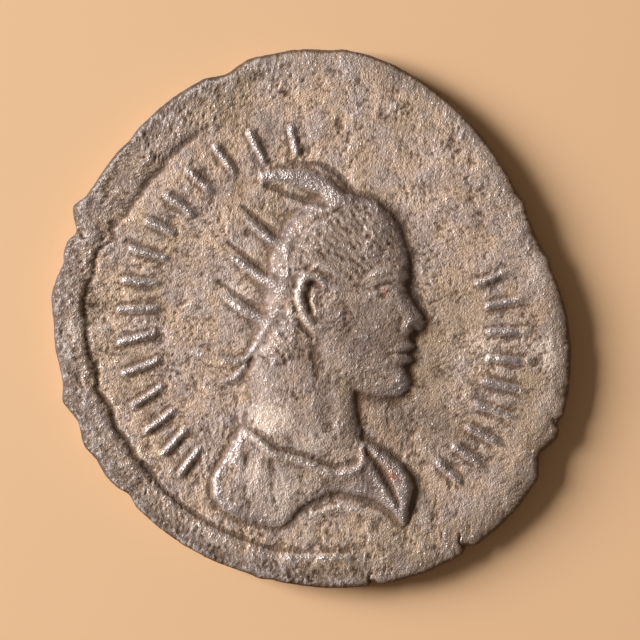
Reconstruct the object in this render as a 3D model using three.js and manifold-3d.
// A worn double denarius of billon, struck by hand: a radiate, draped bust to the right on the
// obverse and a standing figure on the reverse. Lengths are in millimetres and angles in degrees.
// +Z is the obverse, +Y the top of both designs, and the coin lies on the worn border of its
// reverse at z = 0. The origin is below the middle of its outline.
import * as THREE from "three";
import Module from "manifold-3d";

const wasm = await Module();
wasm.setup();

// The flan, with its reverse sunk inside a border
const FLAN_RADIUS = 11.2;
const FIELD_THICKNESS = 0.9;
const REVERSE_DEPTH = 0.24;
const REVERSE_BORDER_WIDTH = 1.35;
const REVERSE_BORDER_SLOPE = 0.25;
const REVERSE_EDGE_ROLL = 0.5;
const REVERSE_EDGE_HEIGHT = 0.3;
const FIELD_TOP = REVERSE_DEPTH + FIELD_THICKNESS;

// The raised border of the obverse, which the strike left on one side only. Elsewhere the field
// falls to the edge in a curve: how far in, as shares of the border's width, and how far down, as
// shares of EDGE_DROP.
const RIM_HEIGHT = 0.15;
const RIM_SLOPE = 0.2;
const RIM_ROLL = 0.18;
const RIM_DROP = 0.09;
const EDGE_DROP = 0.5;
const FALLING_EDGE = [[0, 1], [0.12, 0.45], [0.35, 0.18], [0.65, 0.05]];

// Relief heights above the field
const HEAD_RELIEF = 0.44;
const NECK_RELIEF = 0.33;
const SHOULDER_RELIEF = 0.28;
const HAIR_RELIEF = 0.07;
const CROWN_RELIEF = 0.09;
const RAY_RELIEF = 0.14;
const EAR_RELIEF = 0.12;
const FACE_RELIEF = 0.07;
const FOLD_RELIEF = 0.09;
const LEGEND_RELIEF = 0.15;
const REVERSE_RELIEF = 0.17;
const SKIRT_RELIEF = 0.14;

// The bust is drawn in shares of the height of its head, from the foot of the chin
const HEAD_HEIGHT = 8.7;
const FACE_PLANE_X = 4.1;
const CHIN_Y = -3.35;

// The standing figure is drawn in shares of its own height, from the middle of the coin
const FIGURE_HEIGHT = 13.6;

// Rows of strokes around the designs, set in from the edge
const STROKE_HALF_WIDTH = 0.23;
const LEFT_ROW_INSET = 2.85;
const LEFT_STROKE_LENGTH = 1.5;
const RIGHT_ROW_INSET = 1.75;
const RIGHT_STROKE_LENGTH = 1.7;
const REVERSE_ROW_INSET = 2.6;
const REVERSE_STROKE_LENGTH = 1.3;

// How deep each raised form reaches into the flan below it
const SINK = 0.2;

// Distance from the middle to the edge every 20 degrees, as a share of FLAN_RADIUS
const FLAN_SHAPE = [
  0.977, 0.912, 0.935, 0.984, 1.032, 1.021, 0.999, 0.979, 0.981,
  0.988, 0.987, 0.984, 0.997, 1.009, 1.045, 1.071, 1.067, 1.029,
];

// How fully the border stands every 20 degrees, and its width there, the roll of the edge included
const RIM_PRESENCE = [0, 0, 0, 0, 0.1, 0.4, 0.7, 0.8, 0.9, 1, 1, 1, 1, 0.95, 0.5, 0.05, 0, 0];
const RIM_WIDTH = [
  1.0, 0.8, 0.65, 0.75, 1.2, 1.85, 1.9, 1.65, 1.4,
  1.4, 1.5, 1.4, 1.45, 1.4, 1.6, 1.4, 1.3, 1.15,
];

// Knobs, dents, cracks and the chip along the edge: angle, half width, and how far it stands out
const EDGE_MARKS = [
  [14, 2.5, 0.12],
  [28.5, 3, 0.12],
  [88, 5, -0.08],
  [109.5, 5, -0.26],
  [136, 3.5, -0.09],
  [155, 3.5, 0.36],
  [160, 2.5, -0.28],
  [168, 2.5, -0.15],
  [175.5, 5.5, 0.15],
  [191.5, 4, -0.08],
  [198.5, 3, 0.24],
  [204, 2.5, -0.1],
  [209.5, 4, 0.17],
  [217.5, 4, 0.12],
  [224, 3, -0.18],
  [258.5, 2.5, 0.1],
  [283, 1.3, -0.22],
  [304, 1.5, -0.28],
  [329, 4.5, -0.45],
  [337, 1.6, -0.22],
];
const RIM_STEP = 6;
const CLOSEST_ANGLES = 1;

const radians = THREE.MathUtils.degToRad;
const mix = THREE.MathUtils.lerp;
const clamp = THREE.MathUtils.clamp;

// A smooth closed reading of values that are given at equal steps around the coin
function around(values, angle) {
  const place = (THREE.MathUtils.euclideanModulo(angle, 360) / 360) * values.length;
  const first = Math.floor(place);
  const [a, b, c, d] = [-1, 0, 1, 2].map((k) => values[(first + k + values.length) % values.length]);
  const t = place - first;
  const tangent = c - a;
  const bend = 2 * a - 5 * b + 4 * c - d;
  const twist = 3 * (b - c) + d - a;
  return b + 0.5 * t * (tangent + t * (bend + t * twist));
}

function polar(radius, angle) {
  return [radius * Math.cos(radians(angle)), radius * Math.sin(radians(angle))];
}

// The edge without its marks, which the borders and rows inside it follow
function smoothRadius(angle) {
  return FLAN_RADIUS * around(FLAN_SHAPE, angle);
}

function markAt(angle) {
  return EDGE_MARKS.reduce((sum, [middle, half, out]) => {
    const away = Math.abs(THREE.MathUtils.euclideanModulo(angle - middle + 180, 360) - 180);
    return away < half ? sum + out * (0.5 + 0.5 * Math.cos((Math.PI * away) / half)) : sum;
  }, 0);
}

// Triangles across a long ring, to and fro between its two sides, from the end at its first point
function zigzag(count) {
  const triangles = [[0, 1, count - 1]];
  let low = 1;
  let high = count - 1;
  while (high - low > 1) {
    triangles.push([low, low + 1, high]);
    low += 1;
    if (high - low > 1) {
      triangles.push([low, high - 1, high]);
      high -= 1;
    }
  }
  return triangles;
}

// A closed surface through rings of equal count, each anticlockwise seen from above, lowest first.
// Its two ends are fans around a middle, if there is one.
function loft(rings, middle) {
  const count = rings[0].length;
  const top = (rings.length - 1) * count;
  const points = rings.flat();
  const index = [];
  for (let low = 0; low < top; low += count) {
    for (let i = 0; i < count; i += 1) {
      const next = (i + 1) % count;
      index.push(low + i, low + next, low + count + next);
      index.push(low + i, low + count + next, low + count + i);
    }
  }
  if (middle) {
    const hub = points.length;
    points.push([...middle, rings[0][0][2]], [...middle, rings.at(-1)[0][2]]);
    for (let i = 0; i < count; i += 1) {
      const next = (i + 1) % count;
      index.push(i, hub, next, top + i, top + next, hub + 1);
    }
  } else {
    zigzag(count).forEach(([a, b, c]) => index.push(a, c, b, top + a, top + b, top + c));
  }
  const geometry = new THREE.BufferGeometry();
  geometry.setAttribute("position", new THREE.Float32BufferAttribute(points.flat(), 3));
  geometry.setIndex(index);
  return geometry;
}

// Cross sections of raised forms, from the foot up: how far in, and how high, as shares
const LINE = [[0.5, 1]];
const CUSHION = [[0, 0.3], [0.12, 0.62], [0.35, 0.88], [0.7, 1]];
const level = () => 0;

// A raised line along stations of x, y and half width, lying on the ground given. Its foot is in
// the flan, or, where all of it lies on a raised form, just under that form's surface.
function ridge(stations, height, options = {}) {
  const { section = LINE, steps = stations.length - 1, ground = level, onForm = false } = options;
  const curve = new THREE.CatmullRomCurve3(stations.map((s) => new THREE.Vector3(...s)));
  const spine = curve.getPoints(steps);
  const widest = Math.max(...spine.map((p) => p.z));
  const ring = (share, lift) => {
    const right = [];
    const left = [];
    const tips = [];
    spine.forEach((p, i) => {
      const ahead = spine[Math.min(i + 1, steps)];
      const behind = spine[Math.max(i - 1, 0)];
      const along = new THREE.Vector2(ahead.x - behind.x, ahead.y - behind.y).normalize();
      const reach = p.z * share;
      const rise = (x, y) => [x, y, lift(x, y, Math.sqrt(p.z / widest))];
      right.push(rise(p.x + along.y * reach, p.y - along.x * reach));
      left.unshift(rise(p.x - along.y * reach, p.y + along.x * reach));
      if (i === 0) tips.push(rise(p.x - along.x * reach, p.y - along.y * reach));
      if (i === steps) tips.push(rise(p.x + along.x * reach, p.y + along.y * reach));
    });
    return [tips[0], ...right, tips[1], ...left];
  };
  const foot = ring(1, (x, y) => (onForm ? ground(x, y) - SINK / 2 : -SINK));
  const rest = section.map(([inset, share]) =>
    ring(1 - inset, (x, y, full) => ground(x, y) + height * share * full));
  return loft([foot, ...rest]);
}

// A cushion between two edges, which run the same way with its body on the left of the first
function band(right, left, height, { section = CUSHION, steps = 12, ends = 0 } = {}) {
  const [near, far] = [right, left].map(
    (edge) => new THREE.CatmullRomCurve3(edge.map(([x, y]) => new THREE.Vector3(x, y, 0))));
  const ring = (inset, z) => {
    const side = (from, to, i) => {
      const t = mix(inset * ends, 1 - inset * ends, i / steps);
      const p = from.getPoint(t).lerp(to.getPoint(t), inset / 2);
      return [p.x, p.y, z];
    };
    const there = Array.from({ length: steps + 1 }, (_, i) => side(near, far, i));
    const back = Array.from({ length: steps + 1 }, (_, i) => side(far, near, steps - i));
    return [...there, ...back];
  };
  return loft([ring(0, -SINK), ...section.map(([inset, share]) => ring(inset, height * share))]);
}

// A dome over a closed outline, whose inner rings lose the outline's small bends
function dome(outline, middle, height, { section = CUSHION, soften = 4 } = {}) {
  const count = outline.length;
  const ring = (inset, z) => {
    const smooth = clamp(inset * 2.5, 0, 1);
    return outline.map(([x, y], i) => {
      let sumX = 0;
      let sumY = 0;
      for (let k = -soften; k <= soften; k += 1) {
        const [nearX, nearY] = outline[(i + k + count) % count];
        sumX += nearX;
        sumY += nearY;
      }
      const softX = mix(x, sumX / (2 * soften + 1), smooth);
      const softY = mix(y, sumY / (2 * soften + 1), smooth);
      return [mix(softX, middle[0], inset), mix(softY, middle[1], inset), z];
    });
  };
  return loft([ring(0, -SINK), ...section.map(([inset, share]) => ring(inset, height * share))], middle);
}

// The height of forms already made, for what lies on them
function groundOf(forms) {
  const meshes = forms.map((form) => new THREE.Mesh(form));
  const ray = new THREE.Raycaster();
  const start = new THREE.Vector3();
  const down = new THREE.Vector3(0, 0, -1);
  return (x, y) => {
    ray.set(start.set(x, y, FLAN_RADIUS), down);
    const [hit] = ray.intersectObjects(meshes, false);
    return hit ? Math.max(0, hit.point.z) : 0;
  };
}

// The flan with the border of the obverse, the rolled edge and the sunk field of the reverse
function makeFlan() {
  const marked = EDGE_MARKS.flatMap(([middle, half]) => [middle - half, middle, middle + half]);
  const even = Array.from({ length: 360 / RIM_STEP }, (_, i) => i * RIM_STEP)
    .filter((angle) => marked.every((mark) => Math.abs(mark - angle) > CLOSEST_ANGLES));
  const angles = [...new Set([...marked, ...even])].sort((a, b) => a - b);

  const profile = (angle) => {
    const smooth = smoothRadius(angle);
    const edge = smooth + markAt(angle);
    const between = (smooth + edge) / 2;
    const border = REVERSE_EDGE_ROLL + REVERSE_BORDER_WIDTH;
    const stands = clamp(around(RIM_PRESENCE, angle), 0, 1);
    const width = around(RIM_WIDTH, angle);
    const crest = FIELD_TOP + stands * RIM_HEIGHT;
    const standing = [[0, EDGE_DROP], [RIM_ROLL / 3, RIM_DROP], [RIM_ROLL, 0], [width - RIM_SLOPE, 0]];
    const from = [edge, edge, between, smooth];
    return [
      [smooth - border - REVERSE_BORDER_SLOPE, REVERSE_DEPTH],
      [smooth - border, 0],
      [between - REVERSE_EDGE_ROLL, 0],
      [edge - REVERSE_EDGE_ROLL / 8, REVERSE_EDGE_HEIGHT],
      ...FALLING_EDGE.map(([inset, drop], row) => [
        from[row] - mix(inset * width, standing[row][0], stands),
        crest - mix(drop * EDGE_DROP, standing[row][1], stands),
      ]),
      [smooth - width, FIELD_TOP],
    ];
  };
  const profiles = angles.map(profile);
  const rings = profiles[0].map((_, row) =>
    angles.map((angle, i) => {
      const [radius, z] = profiles[i][row];
      return [...polar(radius, angle), z];
    }));
  return loft(rings, [0, 0]);
}

// A point or station of the bust, from shares of the head's height: x from the plane of the face
const onBust = ([x, y, ...width]) => [
  FACE_PLANE_X + x * HEAD_HEIGHT,
  CHIN_Y + y * HEAD_HEIGHT,
  ...width.map((w) => w * HEAD_HEIGHT),
];

// Chin to crown by the usual thirds of a profile, then the skull, the nape and the jaw
const HEAD_OUTLINE = [
  [-0.27, 0.03], [-0.15, 0.0], [-0.045, 0.0], [0.0, 0.045], [0.004, 0.09], [-0.016, 0.135],
  [0.016, 0.175], [0.006, 0.212], [0.026, 0.25], [0.006, 0.3], [0.066, 0.325], [0.082, 0.365],
  [0.034, 0.45], [-0.014, 0.53], [0.004, 0.61], [-0.012, 0.72], [-0.06, 0.85], [-0.16, 0.95],
  [-0.32, 0.995], [-0.47, 0.95], [-0.6, 0.84], [-0.67, 0.68], [-0.69, 0.5], [-0.72, 0.34],
  [-0.765, 0.19], [-0.66, 0.1], [-0.545, 0.2], [-0.475, 0.25], [-0.43, 0.14], [-0.36, 0.07],
].map(onBust);
const HEAD_MIDDLE = onBust([-0.34, 0.5]);
const HEAD_SECTION = [[0, 0.2], [0.06, 0.47], [0.18, 0.74], [0.4, 0.93], [0.75, 1]];

// The neck, anticlockwise from its front under the jaw, down to where the cloth covers it
const NECK_OUTLINE = [
  [-0.5, 0.36], [-0.66, 0.3], [-0.76, 0.17], [-0.772, 0.0], [-0.79, -0.14], [-0.7, -0.24],
  [-0.58, -0.31], [-0.44, -0.36], [-0.33, -0.37], [-0.24, -0.31], [-0.235, -0.18],
  [-0.262, -0.05], [-0.27, 0.06], [-0.36, 0.2],
].map(onBust);
const NECK_MIDDLE = onBust([-0.5, -0.05]);

const TRUNCATION = [
  [-0.955, -0.49], [-0.885, -0.57], [-0.76, -0.615], [-0.615, -0.632], [-0.53, -0.54],
  [-0.435, -0.488], [-0.36, -0.465], [-0.22, -0.492], [-0.095, -0.552], [-0.02, -0.635],
].map(onBust);
const SHOULDER_LINE = [
  [-0.96, -0.4], [-0.9, -0.29], [-0.845, -0.185], [-0.79, -0.12], [-0.64, -0.11],
  [-0.42, -0.13], [-0.26, -0.19], [-0.1, -0.28], [-0.01, -0.36], [0.025, -0.43],
].map(onBust);

// Stations of x, y and half width, in shares of the head's height
const CROWN_BAND = [
  [-0.8, 0.17, 0.024], [-0.7, 0.33, 0.032], [-0.62, 0.5, 0.038], [-0.6, 0.63, 0.038],
  [-0.605, 0.73, 0.038], [-0.54, 0.835, 0.036], [-0.4, 0.92, 0.034], [-0.28, 0.975, 0.028],
];
const RAYS = [
  [
    [-0.33, 0.95, 0.06], [-0.45, 1.04, 0.078], [-0.58, 1.08, 0.062], [-0.7, 1.075, 0.03],
    [-0.75, 1.07, 0.01],
  ],
  [[-0.6, 0.715, 0.042], [-0.69, 0.78, 0.038], [-0.775, 0.85, 0.026], [-0.83, 0.905, 0.008]],
  [[-0.62, 0.51, 0.045], [-0.72, 0.58, 0.042], [-0.83, 0.66, 0.028], [-0.9, 0.715, 0.008]],
  [[-0.67, 0.35, 0.042], [-0.78, 0.41, 0.042], [-0.88, 0.475, 0.028], [-0.95, 0.52, 0.008]],
];
const RIBBONS = [
  [[-0.79, 0.19, 0.035], [-0.86, 0.17, 0.03], [-0.93, 0.2, 0.022], [-0.955, 0.24, 0.01]],
  [[-0.8, 0.15, 0.03], [-0.86, 0.08, 0.03], [-0.93, 0.07, 0.02], [-0.965, 0.085, 0.01]],
];
const NECKLINE = [
  [-0.8, -0.17, 0.018], [-0.72, -0.22, 0.026], [-0.655, -0.275, 0.028], [-0.585, -0.29, 0.026],
  [-0.48, -0.325, 0.03], [-0.365, -0.375, 0.03], [-0.235, -0.34, 0.026], [-0.225, -0.235, 0.016],
];
const FOLDS = [
  [[-0.8, -0.15, 0.02], [-0.83, -0.28, 0.028], [-0.85, -0.42, 0.026], [-0.83, -0.53, 0.014]],
  [[-0.72, -0.26, 0.018], [-0.73, -0.37, 0.028], [-0.73, -0.48, 0.026], [-0.69, -0.58, 0.014]],
  [[-0.61, -0.33, 0.016], [-0.6, -0.41, 0.024], [-0.575, -0.5, 0.016]],
  [[-0.46, -0.365, 0.014], [-0.44, -0.42, 0.02], [-0.4, -0.455, 0.014]],
  [[-0.23, -0.3, 0.018], [-0.14, -0.42, 0.026], [-0.09, -0.51, 0.022], [-0.02, -0.61, 0.012]],
  [[-0.21, -0.225, 0.014], [-0.09, -0.3, 0.026], [-0.02, -0.37, 0.026], [-0.015, -0.46, 0.016]],
];
const EAR_RIM = [
  [-0.42, 0.56, 0.016], [-0.475, 0.585, 0.022], [-0.525, 0.545, 0.024], [-0.53, 0.46, 0.024],
  [-0.49, 0.375, 0.024], [-0.45, 0.325, 0.024], [-0.42, 0.34, 0.016],
];
const EAR_BOWL = [[-0.44, 0.52, 0.02], [-0.475, 0.46, 0.026], [-0.445, 0.41, 0.02]];

// Brow, lids, wing of the nose and lips, on the same thirds as the outline
const FACE_LINES = [
  [[-0.01, 0.585, 0.02], [-0.09, 0.605, 0.024], [-0.18, 0.585, 0.014]],
  [[-0.05, 0.5, 0.01], [-0.1, 0.53, 0.013], [-0.155, 0.505, 0.009]],
  [[-0.055, 0.485, 0.008], [-0.1, 0.468, 0.011], [-0.15, 0.485, 0.008]],
  [[0.02, 0.37, 0.014], [-0.012, 0.345, 0.02], [0.0, 0.315, 0.012]],
  [[0.015, 0.245, 0.014], [-0.035, 0.238, 0.016], [-0.075, 0.222, 0.008]],
  [[0.008, 0.18, 0.014], [-0.03, 0.188, 0.014], [-0.065, 0.206, 0.008]],
];
const EYEBALL = [[-0.085, 0.497, 0.012], [-0.1, 0.499, 0.018], [-0.118, 0.497, 0.012]];

// Short hair, combed from the crown to the hairline between these two guide lines, brow to nape
const HAIR_ROOTS = [
  [-0.2, 0.955], [-0.34, 0.905], [-0.47, 0.835], [-0.545, 0.745], [-0.555, 0.63], [-0.57, 0.5],
  [-0.63, 0.37], [-0.7, 0.26],
];
const HAIRLINE = [
  [-0.06, 0.83], [-0.15, 0.755], [-0.22, 0.67], [-0.29, 0.58], [-0.4, 0.6], [-0.545, 0.36],
  [-0.575, 0.23], [-0.68, 0.15],
];
const STRANDS = 12;
const LOCKS_IN_STRAND = 2;
const LOCK_HALF_WIDTH = 0.03;
const LOCK_BOW = 0.025;
const LOCK_OVERLAP = 0.06;

function guide(points) {
  return new THREE.CatmullRomCurve3(points.map(([x, y]) => new THREE.Vector3(x, y, 0)));
}

function makeLocks(ground) {
  const roots = guide(HAIR_ROOTS.map(onBust));
  const hairline = guide(HAIRLINE.map(onBust));
  const locks = [];
  for (let lock = 0; lock < LOCKS_IN_STRAND; lock += 1) {
    const from = lock / LOCKS_IN_STRAND;
    const to = (lock + 1) / LOCKS_IN_STRAND + LOCK_OVERLAP;
    const aside = (lock % 2) / 2;
    for (let strand = aside; strand < STRANDS; strand += 1) {
      const root = roots.getPoint((strand + 0.25) / STRANDS);
      const tip = hairline.getPoint((strand + 0.25) / STRANDS);
      const bow = new THREE.Vector3(root.y - tip.y, tip.x - root.x, 0).setLength(LOCK_BOW * HEAD_HEIGHT);
      const station = (share, bend, width) => {
        const p = root.clone().lerp(tip, share).addScaledVector(bow, bend);
        return [p.x, p.y, width * LOCK_HALF_WIDTH * HEAD_HEIGHT];
      };
      const stations = [station(from, 0, 0.5), station(mix(from, to, 0.5), 1, 1), station(to, 0, 0.4)];
      locks.push(ridge(stations, HAIR_RELIEF, { ground, steps: 2, onForm: true }));
    }
  }
  return locks;
}

// A closed outline with one more point between each two that are given
function rounded(points) {
  const curve = new THREE.CatmullRomCurve3(points.map(([x, y]) => new THREE.Vector3(x, y, 0)), true);
  return curve.getPoints(2 * points.length).slice(0, -1).map((p) => [p.x, p.y]);
}

function makeBust() {
  const head = dome(rounded(HEAD_OUTLINE), HEAD_MIDDLE, HEAD_RELIEF, { section: HEAD_SECTION, soften: 3 });
  const neck = dome(rounded(NECK_OUTLINE), NECK_MIDDLE, NECK_RELIEF, { soften: 1 });
  const shoulders = band(TRUNCATION, SHOULDER_LINE, SHOULDER_RELIEF, { steps: 22, ends: 0.05 });
  const masses = [head, neck, shoulders];
  const ground = groundOf(masses);
  const lines = (list, height, steps) =>
    list.map((stations) => ridge(stations.map(onBust), height, { ground, steps }));
  return [
    ...masses,
    ...lines(RAYS, RAY_RELIEF, 5),
    ...lines([CROWN_BAND], CROWN_RELIEF, 9),
    ...lines(RIBBONS, CROWN_RELIEF, 4),
    ...lines([EAR_RIM], EAR_RELIEF, 8),
    ...lines([EAR_BOWL], EAR_RELIEF / 2, 3),
    ...lines(FACE_LINES, FACE_RELIEF, 3),
    ...lines([EYEBALL], FACE_RELIEF, 2),
    ...lines([NECKLINE], FOLD_RELIEF, 11),
    ...lines(FOLDS, FOLD_RELIEF, 4),
    ...makeLocks(ground),
  ];
}

// Strokes of a row: angle, lean from the radius, and length and outward shift as shares of the row's
const LEFT_STROKES = [
  [96, 8, 0.8, -0.2], [108, 9, 0.95, -0.05], [119, 7, 0.95, 0.05], [129.5, 8, 0.9, 0.05],
  [139.5, 5, 0.95, 0.05], [149, 7, 0.85, 0.1], [158.5, 5, 1.05, 0.05], [168, 6, 1, 0],
  [177, 4, 1.1, -0.05], [186.5, 7, 1.05, 0], [196, 5, 1.1, 0.05], [205.5, 7, 1, 0.2],
  [214, 3, 1, 0.25], [222, 5, 0.95, 0.3], [229.5, 3, 0.9, 0.35],
];
const RIGHT_STROKES = [
  [12.5, 9, 0.8, 0], [4.5, 6, 0.9, 0], [356, 5, 1.05, -0.05], [348, 7, 1.1, -0.1],
  [340.5, 6, 1.05, -0.2], [333, 8, 1, -0.25], [325.5, 7, 0.85, -0.3], [318.5, 9, 0.8, -0.35],
  [311.5, 8, 0.75, -0.4],
];
const REVERSE_STROKES = [
  [31, 10, 0.9, 0], [41, 14, 0.8, 0], [51, 8, 1, 0], [119, -12, 0.9, 0], [131, -8, 1, 0],
  [143, -14, 0.7, 0], [155, -10, 0.9, 0], [168, -12, 1, 0], [193, 12, 0.8, 0], [206, 8, 1, 0],
  [331, -14, 0.9, 0], [344, -8, 0.8, 0], [357, -12, 1, 0], [10, 10, 0.8, 0], [21, 8, 1, 0],
];

function strokeRow(strokes, inset, length, height, radiusAt = smoothRadius) {
  return strokes.map(([angle, lean, share, shift]) => {
    const [x, y] = polar(radiusAt(angle) - inset - (0.5 - shift) * length, angle);
    const [dx, dy] = polar(0.5 * share * length, angle + lean);
    const ends = [
      [x - dx, y - dy, STROKE_HALF_WIDTH],
      [x + dx, y + dy, STROKE_HALF_WIDTH],
    ];
    return ridge(ends, height);
  });
}

// What is left of a straight border stroke, inside the foot of the border below the bust
const BAR_ANGLE = 271;
const BAR_INSET = 1.35;
const BAR_LENGTH = 2.9;
const BAR_HALF_WIDTH = 0.22;

function makeBar() {
  const [x, y] = polar(smoothRadius(BAR_ANGLE) - BAR_INSET, BAR_ANGLE);
  const ends = [
    [x - BAR_LENGTH / 2, y, BAR_HALF_WIDTH],
    [x + BAR_LENGTH / 2, y, BAR_HALF_WIDTH],
  ];
  return ridge(ends, RIM_HEIGHT + LEGEND_RELIEF / 3);
}

// The reverse is laid out as it is seen from its own side, then turned over with the edge
const fromBelow = (angle) => smoothRadius(180 - angle);

// The standing figure in a long garment, with a bowl and a staff, worn flat on its highest parts
const onFigure = ([x, y, ...width]) => [
  x * FIGURE_HEIGHT,
  y * FIGURE_HEIGHT,
  ...width.map((w) => w * FIGURE_HEIGHT),
];
const bothSides = (side) => [side, side.map(([x, y]) => [-x, y])];
const TORSO = bothSides([
  [-0.035, 0.36], [-0.088, 0.335], [-0.085, 0.24], [-0.06, 0.14], [-0.085, 0.02], [-0.09, -0.08],
]);
const SKIRT = bothSides([[-0.075, 0.06], [-0.1, -0.08], [-0.115, -0.28], [-0.14, -0.45]]);
const SKIRT_FOLDS = [-1, -0.5, 0, 0.5, 1].map((side) => [
  [side * 0.05, -0.04, 0.012],
  [side * 0.085, -0.24, 0.02],
  [side * 0.115, -0.43, 0.014],
]);
const FIGURE_HEAD = [[0, 0.37, 0.02], [0, 0.39, 0.036], [0.003, 0.42, 0.046], [0, 0.45, 0.03]];
const FIGURE_LIMBS = [
  [[-0.07, 0.315, 0.03], [-0.125, 0.24, 0.028], [-0.18, 0.215, 0.024], [-0.26, 0.24, 0.018]],
  [[0.07, 0.315, 0.03], [0.135, 0.225, 0.028], [0.18, 0.21, 0.024], [0.245, 0.25, 0.018]],
  [[-0.07, -0.45, 0.024], [-0.09, -0.485, 0.02]],
  [[0.05, -0.45, 0.024], [0.08, -0.485, 0.02]],
];
const FIGURE_ITEMS = [
  [[-0.33, 0.26, 0.012], [-0.3, 0.235, 0.03], [-0.26, 0.26, 0.012]],
  [[0.262, 0.47, 0.013], [0.25, 0, 0.012], [0.24, -0.46, 0.01]],
  [[-0.24, -0.515, 0.013], [0.24, -0.515, 0.013]],
];
const WORN_FLAT = [[0, 0.3], [0.15, 0.7], [0.4, 1]];

function makeReverseDesign() {
  const mass = ([right, left], height) =>
    band(right.map(onFigure), left.map(onFigure), height, { section: WORN_FLAT, steps: 6, ends: 0.12 });
  const lines = (list, height, options) =>
    list.map((stations) => ridge(stations.map(onFigure), height, options));
  return [
    mass(TORSO, REVERSE_DEPTH),
    mass(SKIRT, SKIRT_RELIEF),
    ...lines([FIGURE_HEAD], REVERSE_RELIEF, { section: CUSHION, steps: 5 }),
    ...lines(FIGURE_LIMBS, REVERSE_RELIEF),
    ...lines(FIGURE_ITEMS, REVERSE_RELIEF),
    ...lines(SKIRT_FOLDS, REVERSE_DEPTH),
    ...strokeRow(REVERSE_STROKES, REVERSE_ROW_INSET, REVERSE_STROKE_LENGTH, SKIRT_RELIEF, fromBelow),
  ];
}

function solidOf(geometry) {
  return new wasm.Manifold(new wasm.Mesh({
    numProp: 3,
    vertProperties: new Float32Array(geometry.getAttribute("position").array),
    triVerts: new Uint32Array(geometry.getIndex().array),
  }));
}

function geometryOf(solid) {
  const mesh = solid.getMesh();
  const geometry = new THREE.BufferGeometry();
  geometry.setAttribute("position", new THREE.BufferAttribute(mesh.vertProperties, 3));
  geometry.setIndex(new THREE.BufferAttribute(mesh.triVerts, 1));
  return geometry;
}

// Joins the flan and every raised form into one piece, with the origin below its middle
function makeCoin() {
  const obverse = [
    ...makeBust(),
    ...strokeRow(LEFT_STROKES, LEFT_ROW_INSET, LEFT_STROKE_LENGTH, LEGEND_RELIEF),
    ...strokeRow(RIGHT_STROKES, RIGHT_ROW_INSET, RIGHT_STROKE_LENGTH, LEGEND_RELIEF),
    makeBar(),
  ];
  const reverse = makeReverseDesign();
  obverse.forEach((form) => form.translate(0, 0, FIELD_TOP));
  reverse.forEach((form) => form.rotateY(Math.PI).translate(0, 0, REVERSE_DEPTH));
  let coin = solidOf(makeFlan());
  [...obverse, ...reverse].forEach((form) => {
    coin = coin.add(solidOf(form));
  });
  const geometry = geometryOf(coin);
  geometry.computeBoundingBox();
  const middle = geometry.boundingBox.getCenter(new THREE.Vector3());
  return geometry.translate(-middle.x, -middle.y, 0);
}

const billon = new THREE.MeshStandardMaterial({
  color: 0x867868,
  metalness: 0.7,
  roughness: 0.7,
  flatShading: true,
});
const coin = new THREE.Mesh(makeCoin(), billon);
coin.name = "coin";

const part = new THREE.Group();
part.add(coin);

export default part;
